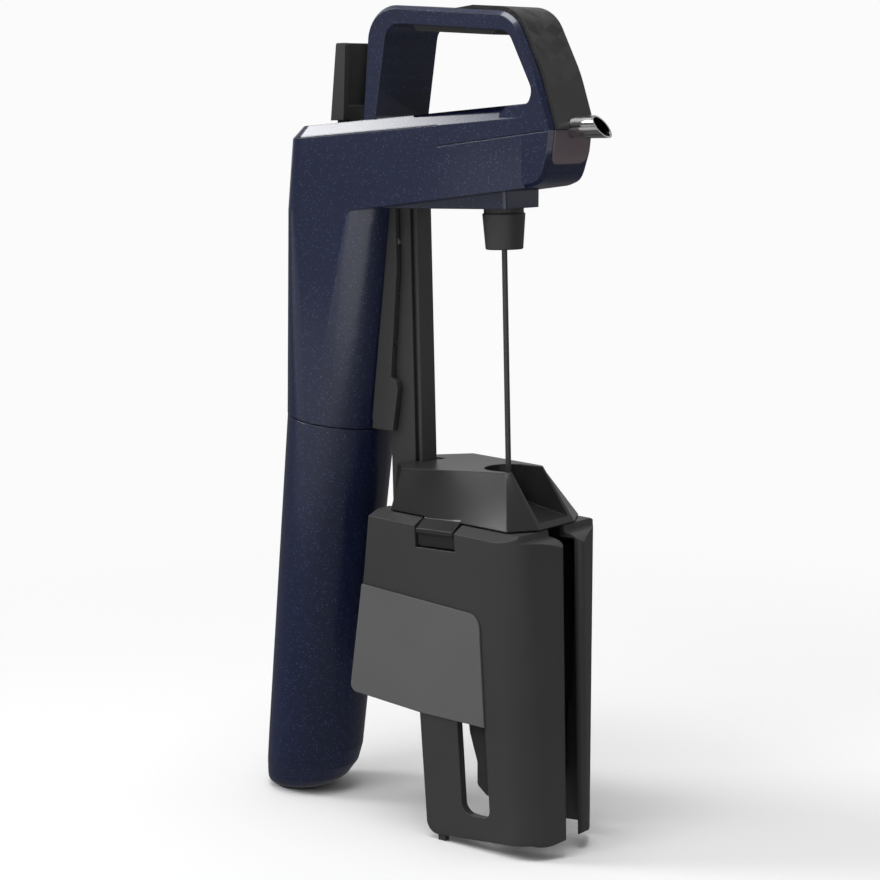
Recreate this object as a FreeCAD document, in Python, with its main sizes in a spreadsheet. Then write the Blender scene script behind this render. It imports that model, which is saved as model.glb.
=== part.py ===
import FreeCAD, Part
import math
import os
import Sketcher
from FreeCAD import Placement, Rotation, Vector

# A hand-held dispenser that pours through a needle. Everything is built about the needle:
# the needle's axis is Z, the spout points to +X, and z is 0 under the clamp's small feet.
# Each finished sub-part is then set on its feet by one shared placement, which leans the
# whole object back a little, because it stands on its capsule cup and on those feet.
# Millimetres and degrees throughout.

SIZES = {
    # how the object stands
    "stand_lean": 1.7,
    "nub_place": -14.0,
    "nub_width": 2.4,
    "nub_drop": 1.3,
    # the capsule column: a leaning axis, given at the seam between column and cup
    "column_lean": 8.15,
    "seam_height": 112.0,
    "seam_forward": -59.16,
    "column_radius": 15.35,
    "column_wall": 2.2,
    "column_top_back": 16.9,
    "column_top_corner": 6.5,
    "column_front_corner": 8.6,
    "column_flat_reach": 57.6,
    "column_top_reach": 86.0,
    "seam_gap": 0.3,
    # the capsule cup
    "cup_foot_radius": 13.85,
    "cup_bore": 11.4,
    "cup_floor": 99.5,
    "cup_heel_round": 2.3,
    "cup_toe_round": 13.0,
    "cup_thread_depth": 8.5,
    "collar_radius": 12.9,
    "running_gap": 0.06,
    # the gas capsule and the foam pad under it
    "capsule_radius": 10.9,
    "capsule_length": 86.0,
    "capsule_neck_radius": 4.2,
    "capsule_neck_length": 9.0,
    "capsule_drop": 9.0,
    "capsule_wall": 1.4,
    "pad_clearance": 0.3,
    # the pressure regulator in the column
    "regulator_radius": 11.9,
    "regulator_height": 42.0,
    "regulator_wall": 3.4,
    "piston_radius": 8.6,
    "piston_height": 4.0,
    "piston_seat": 15.0,
    "piston_stem": 1.5,
    "regulator_spring_radius": 6.4,
    "regulator_spring_wire": 1.3,
    "piercing_radius": 1.0,
    "piercing_length": 15.0,
    "neck_pocket": 4.6,
    # the arm of the housing
    "arm_back": -64.9,
    "arm_back_halfwidth": 15.0,
    "arm_front": 14.0,
    "arm_side_taper": 0.069,
    "arm_top_back": 193.3,
    "arm_top_slope": 0.0575,
    "band_drop": 3.2,
    "band_inset": 2.0,
    "band_end": 11.5,
    "band_back_shift": 3.6,
    "arm_corner": 6.5,
    "arm_under_back": 170.0,
    "arm_under_slope": 0.107,
    "arm_wall": 2.3,
    "parting_front": 191.3,
    "parting_slope": 0.1035,
    "parting_gap": 0.12,
    "parting_step": -12.8,
    "screw_back": -30.0,
    "screw_back_side": 8.0,
    "screw_front": 10.0,
    "screw_front_side": 6.2,
    # the head at the front of the arm
    "head_back": -10.0,
    "head_front": 22.8,
    "head_under": 176.9,
    "head_bevel": 1.2,
    "head_brow_round": 9.0,
    # the handle loop
    "loop_halfwidth": 11.2,
    "loop_side_taper": 0.0335,
    "loop_top_back": 224.6,
    "loop_top_front": 221.0,
    "loop_leg_foot": -39.5,
    "loop_leg_top": -34.3,
    "loop_bar_depth": 4.4,
    "loop_leg_depth": 5.4,
    "loop_round": 9.5,
    "loop_hole_round": 4.5,
    "liner_halfwidth": 8.2,
    "liner_depth": 1.7,
    # the soft grip over the handle and the glossy panel below it
    "grip_halfwidth": 7.9,
    "grip_proud": 1.1,
    "grip_sunk": 1.0,
    "grip_back": -9.0,
    "panel_bottom": 182.6,
    "panel_proud": 0.2,
    # the cover under the head
    "under_bottom": 171.2,
    "under_back": -35.6,
    "under_front": 6.3,
    "under_halfwidth": 8.0,
    "under_draft": 0.6,
    "under_wall": 1.8,
    # needle, its collar and the liquid path
    "needle_radius": 0.75,
    "needle_bore": 0.45,
    "needle_tip": 89.8,
    "collar_low": 160.4,
    "collar_height": 9.5,
    "collar_low_radius": 5.0,
    "collar_rim_radius": 5.7,
    "collar_neck_radius": 5.3,
    "hub_halfwidth": 4.2,
    "hub_height": 8.5,
    "gas_port_height": 5.8,
    "spout_radius": 2.9,
    "spout_stem_radius": 2.65,
    "spout_step": 24.2,
    "spout_wall": 0.2,
    "spout_height": 191.9,
    "spout_back": 6.0,
    "spout_lip_low": 34.0,
    "spout_lip_high": 29.4,
    "bush_radius": 4.6,
    "bush_length": 4.0,
    "hose_radius": 1.6,
    "hose_bend": 6.0,
    # trigger and valve
    "pivot_forward": -51.5,
    "pivot_height": 186.0,
    "pivot_pin_radius": 1.5,
    "trigger_halfwidth": 7.0,
    "trigger_low": 194.3,
    "trigger_spring_wire": 0.65,
    "trigger_top": 215.8,
    "trigger_back_top": -51.1,
    "trigger_back_low": -53.9,
    "trigger_wall": 1.7,
    "trigger_flange": 3.4,
    "trigger_ledge": 199.0,
    "trigger_hub": 3.3,
    "lever_reach": 7.4,
    "slot_clearance": 0.6,
    "slot_front": -43.5,
    "valve_forward": -44.5,
    "valve_radius": 4.8,
    "valve_low": 153.6,
    "valve_top": 178.0,
    "plunger_radius": 2.0,
    "plunger_gap": 0.25,
    "plunger_flange": 3.4,
    "valve_spring_wire": 0.65,
    # the rail that the clamp rides on
    "rail_halfwidth": 3.0,
    "rail_web_back": -38.2,
    "rail_web_front": -29.7,
    "rail_flange_back": -28.3,
    "rail_front": -27.2,
    "rail_groove_halfwidth": 1.7,
    "rail_low": 42.0,
    "rail_screw_forward": -36.5,
    "rail_screw_low": 134.0,
    "rail_screw_shift": 1.25,
    "rail_screw_pitch": 14.0,
    "bracket_halfwidth": 5.0,
    "bracket_gap": 0.3,
    "bracket_low": 110.0,
    "screw_radius": 1.2,
    "rail_clearance": 0.1,
    # the clamp block
    "block_top": 102.1,
    "block_under": 88.75,
    "block_under_slope": 0.061,
    "band_edge_height": 86.6,
    "band_edge_slope": 0.072,
    "block_halfwidth": 16.0,
    "block_nose": 15.8,
    "notch_halfwidth": 6.5,
    "notch_floor": 91.0,
    "neck_radius": 14.5,
    "stop_radius": 12.4,
    "stop_thickness": 1.4,
    "shoe_low": 46.3,
    "shoe_halfwidth": 4.4,
    "shoe_front": -25.0,
    "part_gap": 0.35,
    # the clamp's two arms
    "shell_foot_halfwidth": 14.8,
    "shell_flare": 0.0549,
    "shell_wall": 2.2,
    "shell_crease": 15.0,
    "shell_front": 21.6,
    "shell_slit": 3.5,
    "shell_top_back": -32.2,
    "shell_heel": -20.3,
    "shell_foot_height": 1.3,
    "lever_back_high": -36.6,
    "lever_back_low": -43.4,
    "lever_low": 38.4,
    "pad_top": 69.5,
    "pad_front": 4.6,
    "pad_thickness": 1.8,
    "pad_proud": 0.4,
    "arm_slot_back": -6.0,
    "arm_slot_front": 3.4,
    "arm_slot_low": 9.2,
    "jaw_grip_radius": 13.0,
    "throat_radius": 13.4,
    "jaw_low": 15.0,
    "jaw_high": 80.0,
    "jaw_waist": 37.0,
    "hinge_forward": -10.2,
    "hinge_side": 16.6,
    "hinge_pin_radius": 1.4,
    "knuckle_radius": 3.1,
    "knuckle_low": 72.3,
    "lug_halfwidth": 6.2,
    "lug_low": 82.4,
    "lug_gap": 0.5,
    "hinge_pin_top": 85.8,
    "arm_spring_radius": 1.75,
    "arm_spring_wire": 0.6,
    "arm_spring_height": 75.0,
}


class Size(float):
    """A number that remembers the sheet expression it came from."""

    def __new__(cls, value, text):
        made = super().__new__(cls, value)
        made.text = text
        return made

    def _join(self, other, sign, swap=False):
        first, second = (other, self) if swap else (self, other)
        numbers = float(first), float(second)
        value = {
            "+": lambda a, b: a + b,
            "-": lambda a, b: a - b,
            "*": lambda a, b: a * b,
            "/": lambda a, b: a / b,
        }[sign](*numbers)
        return Size(value, f"({text_of(first)} {sign} {text_of(second)})")

    def __add__(self, other):
        return self._join(other, "+")

    def __radd__(self, other):
        return self._join(other, "+", swap=True)

    def __sub__(self, other):
        return self._join(other, "-")

    def __rsub__(self, other):
        return self._join(other, "-", swap=True)

    def __mul__(self, other):
        return self._join(other, "*")

    def __rmul__(self, other):
        return self._join(other, "*", swap=True)

    def __truediv__(self, other):
        return self._join(other, "/")

    def __neg__(self):
        return Size(-float(self), f"(0 - {self.text})")


def text_of(value):
    """The sheet expression of a size, or a plain number's own digits."""
    return value.text if isinstance(value, Size) else f"{float(value):.9f}"


class Sizes:
    """The sheet's cells, read by name as sizes that can be bound."""

    def __init__(self, sheet):
        self._sheet = sheet

    def __getattr__(self, alias):
        return Size(float(self._sheet.get(alias)), f"{self._sheet.Label}.{alias}")


def make_sheet(doc):
    """Write every driving dimension into a spreadsheet cell with its own alias."""
    sheet = doc.addObject("Spreadsheet::Sheet", "Dimensions")
    for row, (alias, value) in enumerate(SIZES.items(), start=1):
        sheet.set(f"A{row}", alias)
        sheet.set(f"B{row}", str(value))
        sheet.setAlias(f"B{row}", alias)
    doc.recompute()
    return sheet


doc = FreeCAD.newDocument("dispenser")
size = Sizes(make_sheet(doc))
parts = {}
UPRIGHT = Placement()


def radians(angle):
    """An angle of the sheet, in radians."""
    return math.radians(float(angle))


# ---------------------------------------------------------------- frames of the object

def stand_placement():
    """Needle frame to standing frame: leaned back, and lifted until the feet touch zero."""
    lean = radians(size.stand_lean)
    heel = size.nub_place - size.nub_width / 2
    return Placement(Vector(0, 0, -heel * math.sin(lean)), Rotation(Vector(0, 1, 0), -size.stand_lean))


def column_placement():
    """The leaning column axis: its local z is 0 at the seam and rises into the housing."""
    base = Vector(size.seam_forward, 0, size.seam_height)
    return Placement(base, Rotation(Vector(0, 1, 0), size.column_lean))


STAND = stand_placement()
COLUMN = column_placement()


def column_front(height, outward=0.0):
    """X of the column's straight front face at a height of the needle frame."""
    lean = radians(size.column_lean)
    along = (height - size.seam_height) * math.tan(lean)
    return float(size.seam_forward + along) + float(size.column_radius + outward) / math.cos(lean)


def arm_top(forward):
    """Height of the arm's top face at X."""
    return float(size.arm_top_back + (forward - size.arm_back) * size.arm_top_slope)


def arm_half(forward):
    """Half-width of the arm's flat sides at X."""
    return float(size.arm_back_halfwidth - (forward - size.arm_back) * size.arm_side_taper)


def loop_half(forward):
    """Half-width of the head and the handle loop at X."""
    return float(size.loop_halfwidth - (forward - size.loop_leg_top) * size.loop_side_taper)


def parting(forward):
    """Height of the seam between the two halves of the housing at X."""
    return float(size.parting_front - (size.head_front - forward) * size.parting_slope)


def under_seam(forward):
    """Height of the housing's underside at X."""
    return float(size.arm_under_back + 1.4 + (forward - size.under_back) * size.arm_under_slope)


def block_under(forward):
    """Height of the clamp block's sloping underside at X."""
    return float(size.block_under - forward * size.block_under_slope)


def shell_side(height, inward=0.0):
    """Half-width of a clamp arm's outer face at a height."""
    return float(size.shell_foot_halfwidth + height * size.shell_flare - inward)


# ---------------------------------------------------------------- drawing helpers

def rounded_wire(corners, place):
    """Closed wire through corners (a, b) or (a, b, radius); place maps (a, b) to a point."""
    flat = [(float(c[0]), float(c[1]), float(c[2]) if len(c) > 2 else 0.0) for c in corners]
    starts, edges = [], []
    for index, (a, b, radius) in enumerate(flat):
        here = Vector(a, b, 0)
        before = Vector(*flat[index - 1][:2], 0)
        after = Vector(*flat[(index + 1) % len(flat)][:2], 0)
        if radius <= 0:
            starts.append((here, here, None))
            continue
        inward, outward = (before - here).normalize(), (after - here).normalize()
        half = inward.getAngle(outward) / 2
        reach = radius / math.tan(half)
        bisector = (inward + outward).normalize()
        middle = here + bisector * (radius / math.sin(half) - radius)
        starts.append((here + inward * reach, here + outward * reach, middle))
    for index, (enter, leave, middle) in enumerate(starts):
        if middle is not None:
            arc = [place(p.x, p.y) for p in (enter, middle, leave)]
            edges.append(Part.Arc(*arc).toShape())
        following = starts[(index + 1) % len(starts)][0]
        if (following - leave).Length > 1e-6:
            ends = [place(p.x, p.y) for p in (leave, following)]
            edges.append(Part.LineSegment(*ends).toShape())
    return Part.Wire(edges)


def slab(corners, low, high):
    """Side outline in X and Z, carried along Y from low to high."""
    wire = rounded_wire(corners, lambda a, b: Vector(a, low, b))
    return Part.Face(wire).extrude(Vector(0, high - low, 0))


def plan(corners, low, high):
    """Plan outline in X and Y, carried along Z from low to high."""
    wire = rounded_wire(corners, lambda a, b: Vector(a, b, low))
    return Part.Face(wire).extrude(Vector(0, 0, high - low))


def across(corners, low, high):
    """Cross outline in Y and Z, carried along X from low to high."""
    wire = rounded_wire(corners, lambda a, b: Vector(low, a, b))
    return Part.Face(wire).extrude(Vector(high - low, 0, 0))


def loft(wires):
    """Solid with straight sides between closed wires."""
    return Part.makeLoft(wires, True, True)


def upright_rod(forward, side, low, high, radius):
    """Solid cylinder along Z."""
    return Part.makeCylinder(radius, high - low, Vector(forward, side, low))


def cross_rod(forward, height, halfwidth, radius):
    """Solid cylinder along Y, centred on the middle plane."""
    start = Vector(forward, -halfwidth, height)
    return Part.makeCylinder(radius, 2 * halfwidth, start, Vector(0, 1, 0))


def mirrored(shape):
    """The same shape on the other side of the middle plane."""
    return shape.mirror(Vector(0, 0, 0), Vector(0, 1, 0))


# ---------------------------------------------------------------- making sub-parts

def keep(label, made, local=UPRIGHT):
    """Name a sub-part and set it in the standing frame."""
    made.Label = label
    parts[label] = made, local
    return made


def free_part(label, shape, local=UPRIGHT):
    """Sub-part whose form comes from lofts and cuts."""
    made = doc.addObject("Part::Feature", label)
    made.Shape = shape
    return keep(label, made, local)


def origin_plane(body, role):
    """One of a body's own origin planes."""
    return [plane for plane in body.Origin.OriginFeatures if plane.Role == role][0]


def bind_point(sketch, line, end, corner, name):
    """Tie one end of a line to two sheet expressions."""
    for kind, value in zip(("DistanceX", "DistanceY"), corner):
        index = sketch.addConstraint(Sketcher.Constraint(kind, -1, 1, line, end, float(value)))
        if isinstance(value, Size):
            label = f"{name}_{kind[-1].lower()}"
            sketch.renameConstraint(index, label)
            sketch.setExpression(f"Constraints.{label}", value.text)


def polygon_sketch(body, name, role, corners):
    """Closed sketch of straight lines, each corner bound to the sheet."""
    sketch = body.newObject("Sketcher::SketchObject", name)
    sketch.AttachmentSupport = [(origin_plane(body, role), "")]
    sketch.MapMode = "FlatFace"
    points = [Vector(float(a), float(b), 0) for a, b in corners]
    count = len(points)
    for index in range(count):
        sketch.addGeometry(Part.LineSegment(points[index], points[(index + 1) % count]))
    for index in range(count):
        sketch.addConstraint(Sketcher.Constraint("Coincident", index, 2, (index + 1) % count, 1))
    for index in range(count):
        bind_point(sketch, index, 1, corners[index], f"corner{index}")
    return sketch


def turned_part(label, profile, local=UPRIGHT):
    """Body turned about its own Z axis from a closed profile of (radius, height) corners."""
    body = doc.addObject("PartDesign::Body", label)
    sketch = polygon_sketch(body, f"{label}_profile", "XZ_Plane", profile)
    turn = body.newObject("PartDesign::Revolution", f"{label}_turn")
    turn.Profile = sketch
    turn.ReferenceAxis = (sketch, ["V_Axis"])
    turn.Angle = 360
    return keep(label, body, local)


def tube_profile(inner, outer, low, high):
    """Profile of a plain ring or tube."""
    return [(inner, low), (outer, low), (outer, high), (inner, high)]


def moved(forward=0.0, side=0.0, height=0.0, rotation=Rotation()):
    """Placement of a local frame inside the needle frame."""
    return Placement(Vector(forward, side, height), rotation)


def coil(radius, wire, turns, length):
    """Open coil spring along Z; its wire's centre line starts at z = 0."""
    pitch = (length - wire) / turns
    helix = Part.makeHelix(pitch, length - wire, radius)
    ring = Part.Wire([Part.Circle(Vector(radius, 0, 0), Vector(0, 1, 0), wire / 2).toShape()])
    return Part.Wire(helix).makePipeShell([ring], True, True)


# ---------------------------------------------------------------- column and capsule

def column_section(height, inset=0.0):
    """Section of the column, square to its axis: a circle that opens to the arm's flat sides."""
    flat = min(height / float(size.column_flat_reach), 1.0)
    rise = height / float(size.column_top_reach)
    radius = float(size.column_radius)
    round_corner = radius - 0.15
    back = -radius + rise * float(size.column_radius - size.column_top_back)
    axis = COLUMN.Base.x + height * math.sin(radians(size.column_lean))
    half_back = radius + flat * (arm_half(axis + back) - radius) - inset
    half_front = radius + flat * (arm_half(axis + radius) - radius) - inset
    rear_corner = max(round_corner + flat * (float(size.column_top_corner) - round_corner) - inset, 0.5)
    front_corner = max(round_corner + flat * (float(size.column_front_corner) - round_corner) - inset, 0.5)
    outline = [
        (radius - inset, half_front, front_corner),
        (back + inset, half_back, rear_corner),
        (back + inset, -half_back, rear_corner),
        (radius - inset, -half_front, front_corner),
    ]
    return rounded_wire(outline, lambda a, b: Vector(a, b, height))


def column_solid(low, inset=0.0):
    """The column from a distance along its axis up to its top, in the needle frame."""
    bend, top = float(size.column_flat_reach), float(size.column_top_reach)
    solid = loft([column_section(low, inset), column_section(bend, inset), column_section(top, inset)])
    solid.Placement = COLUMN
    return solid


def cup_section(height):
    """Level circle of the cup, pulled in at heel and toe by their roundings."""
    lean = radians(size.stand_lean)
    up = Vector(math.sin(lean), 0, math.cos(lean))
    ahead = Vector(math.cos(lean), 0, -math.sin(lean))
    axis = COLUMN.Rotation.multVec(Vector(0, 0, 1))
    along = (height - STAND.Base.z - up.dot(COLUMN.Base)) / up.dot(axis)
    share = min(-along / float(size.cup_floor), 1.0)
    radius = float(size.column_radius) - share * float(size.column_radius - size.cup_foot_radius)

    def pulled_in(rounding):
        rest = max(float(rounding) - height, 0.0)
        return float(rounding) - math.sqrt(float(rounding) ** 2 - rest ** 2)

    toe = radius - pulled_in(size.cup_toe_round)
    heel = radius - pulled_in(size.cup_heel_round)
    centre = COLUMN.Base + axis * along + ahead * ((toe - heel) / 2)
    return Part.Wire([Part.Circle(centre, up, (toe + heel) / 2).toShape()])


def capsule_cup():
    """Screw-on cup: leaning tube with a floor, cut level where it stands."""
    steps = 4
    quarter = [1 - math.cos(math.pi / 2 * step / steps) for step in range(steps + 1)]
    heel = [float(size.cup_heel_round) * part for part in quarter]
    toe = [float(size.cup_toe_round) * part for part in quarter]
    levels = heel + [level for level in toe if level > heel[-1] + 0.5]
    outside = loft([cup_section(level) for level in levels + [float(size.seam_height) * 1.1]])
    above = Part.makeBox(80, 80, 60, Vector(-40, -40, -size.seam_gap / 2))
    bore = Part.makeCylinder(size.cup_bore, size.cup_floor, Vector(0, 0, -size.cup_floor))
    thread = Part.makeCylinder(
        size.collar_radius + size.running_gap, size.cup_thread_depth + 1,
        Vector(0, 0, -size.cup_thread_depth))
    for tool in (above, bore, thread):
        tool.Placement = COLUMN
    return outside.cut([above, bore, thread])


def build_capsule_group():
    """Cup, foam pad, gas capsule and the seal on its neck."""
    free_part("capsule_cup", capsule_cup())
    top = -size.capsule_drop
    shoulder = top - size.capsule_neck_length
    bottom = top - size.capsule_length
    gap = size.pad_clearance
    turned_part("argon_capsule", [
        (0, bottom), (size.capsule_radius - 4, bottom), (size.capsule_radius, bottom + 4),
        (size.capsule_radius, shoulder - 6), (size.capsule_neck_radius, shoulder),
        (size.capsule_neck_radius, top), (size.piercing_radius + 0.5, top),
        (size.piercing_radius + 0.5, shoulder + 1),
        (size.capsule_neck_radius - size.capsule_wall, shoulder - 1),
        (size.capsule_radius - size.capsule_wall, shoulder - 8),
        (size.capsule_radius - size.capsule_wall, bottom + 5),
        (size.capsule_radius - 5, bottom + size.capsule_wall), (0, bottom + size.capsule_wall),
    ], COLUMN)
    turned_part("cup_pad", [
        (0, -size.cup_floor), (size.cup_bore - gap, -size.cup_floor),
        (size.cup_bore - gap, bottom - gap), (0, bottom - gap),
    ], COLUMN)


def build_regulator():
    """Regulator body, piercing pin, seal, piston and spring, all on the column axis."""
    top = size.regulator_height
    seat = size.piston_seat
    chamber = size.piston_radius + size.running_gap
    stem_hole = size.piston_stem + size.running_gap
    pocket_roof = 5.0
    turned_part("regulator_body", [
        (size.neck_pocket, -size.cup_thread_depth + 1), (size.collar_radius, -size.cup_thread_depth + 1),
        (size.collar_radius, 0), (size.regulator_radius, 0.8), (size.regulator_radius, top),
        (2.0, top), (2.0, top - size.regulator_wall), (chamber, top - size.regulator_wall),
        (chamber, seat), (stem_hole, seat), (stem_hole, pocket_roof + 4), (2.5, pocket_roof + 4),
        (2.5, pocket_roof), (size.neck_pocket, pocket_roof),
    ], COLUMN)
    point = pocket_roof - size.piercing_length
    turned_part("piercing_pin", [
        (0, point), (size.piercing_radius, point + 2.5), (size.piercing_radius, pocket_roof - 3),
        (2.5, pocket_roof - 3), (2.5, pocket_roof + 2), (0, pocket_roof + 2),
    ], COLUMN)
    seal_low = -size.capsule_drop + 2.5
    turned_part("capsule_seal", tube_profile(
        size.piercing_radius + 0.05, size.neck_pocket - 0.02, seal_low, seal_low + 2.0,
    ), COLUMN)
    turned_part("regulator_piston", [
        (0, pocket_roof + 5), (size.piston_stem, pocket_roof + 5), (size.piston_stem, seat),
        (size.piston_radius, seat), (size.piston_radius, seat + size.piston_height),
        (0, seat + size.piston_height),
    ], COLUMN)
    spring_length = top - size.regulator_wall - seat - size.piston_height
    wire = float(size.regulator_spring_wire)
    spring = coil(size.regulator_spring_radius, wire, 5, spring_length - 0.2)
    lift = moved(height=seat + size.piston_height + wire / 2 + 0.1)
    free_part("regulator_spring", spring, COLUMN.multiply(lift))


# ---------------------------------------------------------------- housing

def arm_level(forward, height, inset=0.0, back_shift=0.0, side_shift=0.0):
    """Four-sided wire of the arm; its heights follow the given function of X."""
    back = float(size.arm_back) + back_shift + inset
    wide = arm_half(size.arm_back) - side_shift - inset
    narrow = arm_half(size.arm_front) - side_shift - inset
    corner = max(float(size.arm_corner) - inset - back_shift / 2, 0.6)
    outline = [(forward, narrow), (back, wide, corner), (back, -wide, corner), (forward, -narrow)]
    return rounded_wire(outline, lambda a, b: Vector(a, b, height(a)))


def arm_underside(inset=0.0):
    """Side region above the arm's underside, with the rounded inner corner to the column."""
    back = float(size.arm_under_back)
    sky = float(size.loop_top_back) + 30
    far, behind = float(size.head_front) + 20, float(size.arm_back) - 25
    return slab([
        (behind, back - 70), (size.pivot_forward, back - 30), (size.pivot_forward + 2.1, back - 20.6),
        (size.pivot_forward + 6.7, back - 5.0), (size.pivot_forward + 7.9, back + 0.7 + inset, 3.4),
        (size.under_back - 2.0, under_seam(size.under_back - 2.0) + inset, 12.0),
        (far, under_seam(far) + inset), (far, sky), (behind, sky),
    ], -20, 20)


def arm_solid(inset=0.0):
    """Tapering arm with a bevelled band round its top edge."""
    front = float(size.arm_front) - inset
    foot = float(size.arm_under_back) - 40

    def low(x):
        return foot + 0.0 * x

    def shoulder(x):
        return arm_top(x) - float(size.band_drop) - inset

    def crown(x):
        return arm_top(x) - inset

    trunk = loft([arm_level(front, low, inset), arm_level(front, shoulder, inset)])
    hood = loft([
        arm_level(front, shoulder, inset),
        arm_level(front, crown, inset, float(size.band_back_shift), float(size.band_inset)),
    ])
    ahead = Part.makeBox(120, 60, 120, Vector(size.pivot_forward, -30, foot))
    return trunk.common(ahead).fuse(hood).common(arm_underside(inset))


def head_outline(outward=0.0):
    """Side outline of head and handle loop together, drawn outward by an offset."""
    grow = float(outward)
    front = float(size.head_front)
    return [
        (size.loop_leg_foot - grow, 190.0),
        (size.loop_leg_top - 1.6 - grow, size.loop_top_back + 0.9 + grow, size.loop_round + grow),
        (front - 11.6 + grow * 0.5, size.loop_top_front + 0.3 + grow, size.head_brow_round + grow),
        (front - 4.1 + grow, 205.2 + grow * 0.3, 40.0),
        (front + 0.1 + grow, 191.6, 3.0),
        (front - 0.9 + grow, 185.0, 10.0),
        (front - 3.6 + grow * 0.5, 178.2 - grow * 0.5, 4.0),
        (front - 7.3, size.head_under - grow, 1.5),
        (size.head_back, under_seam(size.head_back)),
        (size.head_back, 190.0),
    ]


def loop_hole():
    """Side outline of the finger opening under the handle."""
    leg = float(size.loop_leg_depth)
    bar = float(size.loop_bar_depth)
    back, front = float(size.loop_leg_top) + 0.1, float(size.head_front) - 7.2
    return [
        (back, arm_top(back), 0.6),
        (size.loop_leg_top - 0.6 + leg, size.loop_top_back - bar, size.loop_hole_round),
        (front - 5.8, size.loop_top_front - bar, size.loop_hole_round),
        (front + 1.4, 201.3, 4.0),
        (front, arm_top(front) + 0.2, 1.5),
    ]


def head_side(outward, side, lift):
    """The head's side outline set on its slanted side plane; side is 1 or -1, lift moves it inward."""
    outline = head_outline(outward)
    return rounded_wire(outline, lambda a, b: Vector(a, side * (loop_half(a) - lift), b))


def head_solid():
    """Head and handle loop, solid right through, with bevelled edges, before the opening is cut."""
    bevel = float(size.head_bevel)
    drawn_in = -bevel * 0.8
    whole = loft([
        head_side(drawn_in, -1, 0.0), head_side(0.0, -1, bevel),
        head_side(0.0, 1, bevel), head_side(drawn_in, 1, 0.0),
    ])
    band = band_relief()
    return whole.cut([band, mirrored(band)])


def band_relief():
    """What the head leaves free beside the arm's bevelled band, on the right; it fades out in front."""
    back, bend, end = float(size.arm_back), float(size.band_end) - 6.0, float(size.band_end)
    buried = 0.25

    def section(x, fade):
        low, high = arm_top(x) - float(size.band_drop), arm_top(x) + 0.05
        foot = arm_half(x) - buried + fade
        head = foot - float(size.band_inset) * (1.0 - fade / (buried + 1.5))
        outline = [(-foot, low), (-head, high), (-30, high), (-30, low)]
        return Part.makePolygon([Vector(x, y, z) for y, z in outline + outline[:1]])

    straight = loft([section(back, 0.0), section(bend, 0.0)])
    return straight.fuse(loft([section(bend, 0.0), section(end, buried + 1.5)]))


def capped_column(low, inset=0.0):
    """The column up to the lower edge of the arm's bevelled band."""
    behind, far = float(size.arm_back) - 25, float(size.head_front) + 20
    drop = float(size.band_drop) + inset
    ceiling = slab([
        (behind, 0), (far, 0), (far, arm_top(far) - drop), (behind, arm_top(behind) - drop),
    ], -20, 20)
    return column_solid(low, inset).common(ceiling)


def housing_outside():
    """Everything that the painted housing fills, without hollows."""
    body = capped_column(float(size.seam_gap) / 2).fuse(arm_solid())
    return body.fuse(head_solid()).cut(slab(loop_hole(), -20, 20))


def housing_inside():
    """The hollow of column, arm and head."""
    column = capped_column(-2.0, float(size.column_wall))
    room = arm_solid(float(size.arm_wall))
    front = float(size.head_front) - 4.6
    half = loop_half(size.head_front) - float(size.arm_wall)
    nose = slab([
        (0, under_seam(0) + 2.0), (front - 1.5, under_seam(front) + 2.0), (front, 184),
        (front, arm_top(front) - 3.6), (0, arm_top(0) - 3.6),
    ], -half, half)
    return column.fuse(room).fuse(nose)


def below_parting(lift=0.0):
    """Everything under the housing's seam, which follows the band and drops where the head starts."""
    behind, far = float(size.arm_back) - 25, float(size.head_front) + 17
    step = float(size.parting_step)
    drop = float(size.band_drop) - lift
    return slab([
        (behind, 90), (far, 90), (far, parting(far) + lift), (step, parting(step) + lift),
        (step, arm_top(step) - drop), (behind, arm_top(behind) - drop),
    ], -30, 30)


def grip_region():
    """Where the soft grip lies: over the bar's front half and down the front."""
    floor = parting(size.head_front)
    front, bar = float(size.head_front), float(size.loop_top_front) - 5.0
    sky = float(size.loop_top_back) + 10.4
    start = float(size.grip_back)
    skin = float(size.loop_top_back) - 1.5
    return slab([
        (start, bar), (start, skin), (start + 9.0, skin + 0.8), (start + 9.0, sky), (front + 7.1, sky),
        (front + 7.1, floor + 0.3), (front - 5.9, floor), (front - 8.9, bar - 11), (front - 17.9, bar),
    ], -size.grip_halfwidth, size.grip_halfwidth)


def front_skin(outward, inward):
    """Layer that follows the head's outline, between two offsets from it."""
    outer = slab(head_outline(outward), -20, 20)
    inner = slab(head_outline(-inward), -20, 20)
    return outer.cut(inner)


def panel_region():
    """Where the glossy front panel lies, under the grip."""
    ceiling = parting(size.head_front)
    return across([
        (-size.grip_halfwidth, ceiling), (-size.grip_halfwidth, size.panel_bottom, 3.0),
        (size.grip_halfwidth, size.panel_bottom, 3.0), (size.grip_halfwidth, ceiling),
    ], float(size.head_front) - 4.9, float(size.head_front) + 7.1)


def spout_hole(extra=0.0):
    """Round hole for the spout's stem through the head's front."""
    start = Vector(size.spout_back, 0, size.spout_height)
    return Part.makeCylinder(size.spout_stem_radius + extra, 40, start, Vector(1, 0, 0))


def needle_hole(low, high, radius):
    """Upright round hole about the needle."""
    return upright_rod(0, 0, low, high, radius)


def trigger_slot():
    """Opening in the arm's top that the trigger stands in."""
    clear = float(size.slot_clearance)
    back = float(size.trigger_back_low) - clear - 1.4
    half = float(size.trigger_halfwidth) + clear
    return Part.makeBox(size.slot_front - back, 2 * half, 20, Vector(back, -half, size.pivot_height + 2))


def screw_places():
    """The four housing screws, upright, as (x, y)."""
    places = [(size.screw_back, size.screw_back_side), (size.screw_front, size.screw_front_side)]
    return [(float(x), float(y) * side) for x, y in places for side in (1, -1)]


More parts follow.
